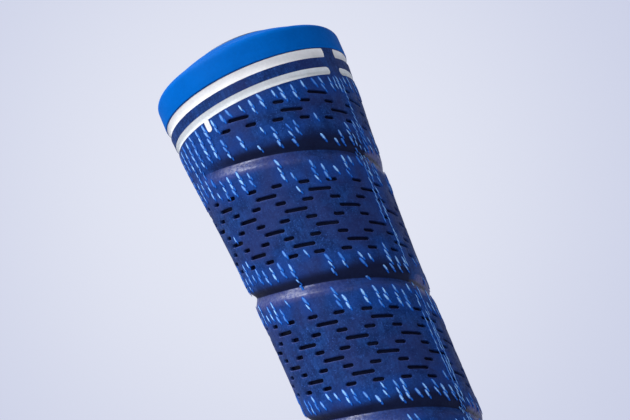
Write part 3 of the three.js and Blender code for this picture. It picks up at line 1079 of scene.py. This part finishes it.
def cord_yarns(beads, material):
    """All the plies of yarn in two pieces, one for each half of the mould."""
    shape, crown, faces = bead_shape()
    for label, start in (("front", PARTING_DEG - 180), ("rear", PARTING_DEG)):
        chosen = [bead for bead in beads if (bead[0] - start) % 360 < 180]
        points, sides = [], []
        for deg, below, drift, kind, size, _, side in chosen:
            angle = math.radians(deg)
            out = np.array([math.cos(angle), math.sin(angle), 0])
            ahead = np.array([-math.sin(angle), math.cos(angle), 0])
            slant = kind["slant_deg"] + PLY_WOBBLE_DEG * math.sin(9 * deg + 5 * below)
            lean = math.radians(slant) + math.atan(drift)
            along = np.array([0, 0, -math.cos(lean)]) + math.sin(lean) * ahead
            across = np.cross(along, out)
            middle = point(deg, below, -float(groove_depth(deg, below))) + across * 0.03 * side
            wide, long, high = np.array(kind["bead"]) * (size, size**0.5, 1)
            sides += [tuple(len(points) * len(shape) + i for i in face) for face in faces]
            flat = middle + shape[:, :1] * across * wide + shape[:, 1:2] * along * long
            points.append(flat + shape[:, 2:] * out * high)
        mesh = bpy.data.meshes.new(f"cord_yarns_{label}")
        mesh.from_pydata(np.concatenate(points), [], sides)
        piece = bpy.data.objects.new(mesh.name, mesh)
        bpy.context.scene.collection.objects.link(piece)
        mark_points(piece, "crown", np.tile(crown, len(chosen)))
        mark_points(piece, "bleach", np.repeat([bead[5] for bead in chosen], len(shape)))
        pick(piece)
        bpy.ops.object.mode_set(mode="EDIT")
        bpy.ops.mesh.select_all(action="SELECT")
        bpy.ops.mesh.normals_make_consistent(inside=False)
        bpy.ops.object.mode_set(mode="OBJECT")
        finish_piece(piece, f"cord_yarns_{label}", material, smooth_deg=80)


def stain_skin(skin, beads):
    """Marks how near each point of the skin is to a yarn that shows, for the dye that bleeds out of it."""
    tree = search_tree([point(deg, below) * MM for deg, below, *_ in beads])
    near = np.array([tree.find(vert.co)[2] for vert in skin.data.vertices]) / MM
    mark_points(skin, "stain", np.exp(-((near / 0.9) ** 2)))


# ---- cap, emblem and core ----

CAP = {"rim": 4.1, "edge": 1.2, "dome": 3.6, "spigot": 7.4, "chamfer": 0.4, "vent": 1.9}
EMBLEM = {"inner": 4.9, "outer": 7.1, "recess": 0.35, "proud": 0.2}
DOME_BASE = 13.88 - CAP["edge"]
DOME_SPHERE = (DOME_BASE**2 + CAP["dome"] ** 2) / (2 * CAP["dome"])


def dome_height(r):
    return CAP_EDGE + CAP["rim"] + CAP["dome"] - DOME_SPHERE + math.sqrt(DOME_SPHERE**2 - r * r)


def end_cap(material):
    radius = DOME_BASE + CAP["edge"]
    vent, plug = CAP["vent"], CAP["spigot"]
    wide, narrow = EMBLEM["outer"] + 0.08, EMBLEM["inner"] - 0.08
    outline = [(vent, SEAT), (plug - 0.4, SEAT), (plug, SEAT + 0.4), (plug, CAP_EDGE)]
    outline += [(radius - 0.15, CAP_EDGE)] + arc((radius - 0.15, CAP_EDGE + 0.15), 0.15, -90, 0, 4)
    outline += [(radius, CAP_EDGE + h) for h in (1.0, 2.0)]
    outline += arc((DOME_BASE, CAP_EDGE + CAP["rim"] - CAP["edge"]), CAP["edge"], 0, 74, 10)
    outline += [(r, dome_height(r)) for r in np.linspace(12.1, wide + 0.1, 12)]
    outline += [(wide, dome_height(wide) - 0.05)]
    outline += [(r, dome_height(r) - EMBLEM["recess"]) for r in np.linspace(wide, narrow, 6)]
    outline += [(narrow, dome_height(narrow) - 0.05)]
    outline += [(r, dome_height(r)) for r in np.linspace(narrow - 0.1, vent + 0.45, 6)]
    outline += arc((vent + 0.45, dome_height(vent) - 0.45), 0.45, 90, 180, 4)
    outline += [outline[0]]
    cap = turned("cap", outline, steps=160)
    return finish_piece(cap, "domed_cap", material, ["end_cap"], smooth_deg=35)


def emblem_ring(material):
    inner, outer = EMBLEM["inner"], EMBLEM["outer"]
    top = EMBLEM["proud"]
    across = np.linspace(outer, inner, 9)
    outline = [(r, dome_height(r) - EMBLEM["recess"] + 0.05) for r in across[::-1]]
    outline += [(outer, dome_height(outer) + top - 0.12), (outer - 0.12, dome_height(outer - 0.12) + top)]
    outline += [(r, dome_height(r) + top) for r in across[1:-1]]
    outline += [(inner + 0.12, dome_height(inner + 0.12) + top), (inner, dome_height(inner) + top - 0.12)]
    outline += [outline[0]]
    ring = turned("ring", outline, steps=160)
    return finish_piece(ring, "cap_ring_mark", material, ["cap_emblem_ring"], smooth_deg=35)


BORE_AT_MOUTH, BORE_AT_BUTT, BORE_STRAIGHT, CORE_WALL = 5.75, 7.62, 12, 0.7


def core_sleeve(material):
    """The bore's wall with the rounded lip that shows at the mouth."""
    lip = outside(CAP_EDGE)
    lip_height = SKIN_FOOT - BOND
    butt = CAP_EDGE - BORE_STRAIGHT
    top = CAP_EDGE - BOND
    outline = arc((BORE_AT_MOUTH + 0.35, 0.35), 0.35, 180, 270, 5)
    outline += arc((lip - 0.6, 0.6), 0.6, -90, 0, 7)
    outline += arc((lip - 0.15, lip_height - 0.15), 0.15, 0, 90, 3)
    outline += [(BORE_AT_MOUTH + CORE_WALL, lip_height)]
    outline += [(BORE_AT_BUTT + CORE_WALL, butt), (BORE_AT_BUTT + CORE_WALL, top)]
    outline += [(BORE_AT_BUTT, top), (BORE_AT_BUTT, butt)]
    outline += [outline[0]]
    core = turned("core", outline, steps=96)
    return finish_piece(core, "core_sleeve_and_lip", material, ["inner_sleeve"], smooth_deg=35)


def hidden_layers(cushion, fabric):
    """The CAD layers inside the skin keep their shape and get their own finish."""
    finishes = {"cushion_sleeve": cushion, "cord_fabric_front": fabric, "cord_fabric_rear": fabric}
    for node, material in finishes.items():
        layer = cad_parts[node]
        layer.data.materials.clear()
        layer.data.materials.append(material)


# Each finish is mottled between a darker and a lighter colour.
WHITE = (0.73, 0.73, 0.75, 1), (0.80, 0.80, 0.82, 1)
# The lower ring's white is a darker copy of the white paint: painted shade for its V-shaped hollow.
SHADED_WHITE = (0.62, 0.65, 0.68, 1), (0.71, 0.74, 0.77, 1)
BRIGHT_BLUE = (0.0, 0.105, 0.45, 1), (0.0, 0.118, 0.50, 1)
SLATE_BLUE = (0.06, 0.10, 0.20, 1), (0.09, 0.15, 0.28, 1)
CORE_NAVY = (0.010, 0.018, 0.06, 1), (0.018, 0.03, 0.10, 1)
CUSHION_NAVY = (0.02, 0.03, 0.09, 1), (0.03, 0.045, 0.14, 1)
CLOTH_BLUE = (0.1, 0.2, 0.6, 1), (0.3, 0.45, 0.9, 1)

set_up_camera()
set_up_stage()
set_up_lights()
grain = rubber_grain_group()
skin, slots = outer_skin(skin_material(grain))
beads = yarn_beads(slots)
stain_skin(skin, beads)
cord_yarns(beads, yarn_material(grain))
paint = plain_rubber("white_paint_fill", grain, *WHITE, 0.5, strength=0.1)
# Painted shade: the darker white for the lower ring's hollow.
shaded_white_paint = plain_rubber("white_paint_fill_with_painted_shade", grain, *SHADED_WHITE, 0.5, strength=0.1)
painted_rings(paint, shaded_white_paint)
painted_tick(paint)
end_cap(plain_rubber("bright_blue_rubber", grain, *BRIGHT_BLUE, 0.5, strength=0.1, shine=0.02))
emblem_ring(plain_rubber("slate_blue_paint", grain, *SLATE_BLUE, 0.5))
core_sleeve(plain_rubber("firm_core_rubber", grain, *CORE_NAVY, 0.6))
cushion = plain_rubber("soft_cushion_rubber", grain, *CUSHION_NAVY, 0.75)
fabric = plain_rubber("cord_cloth", grain, *CLOTH_BLUE, 0.85, fine=1200.0)
hidden_layers(cushion, fabric)
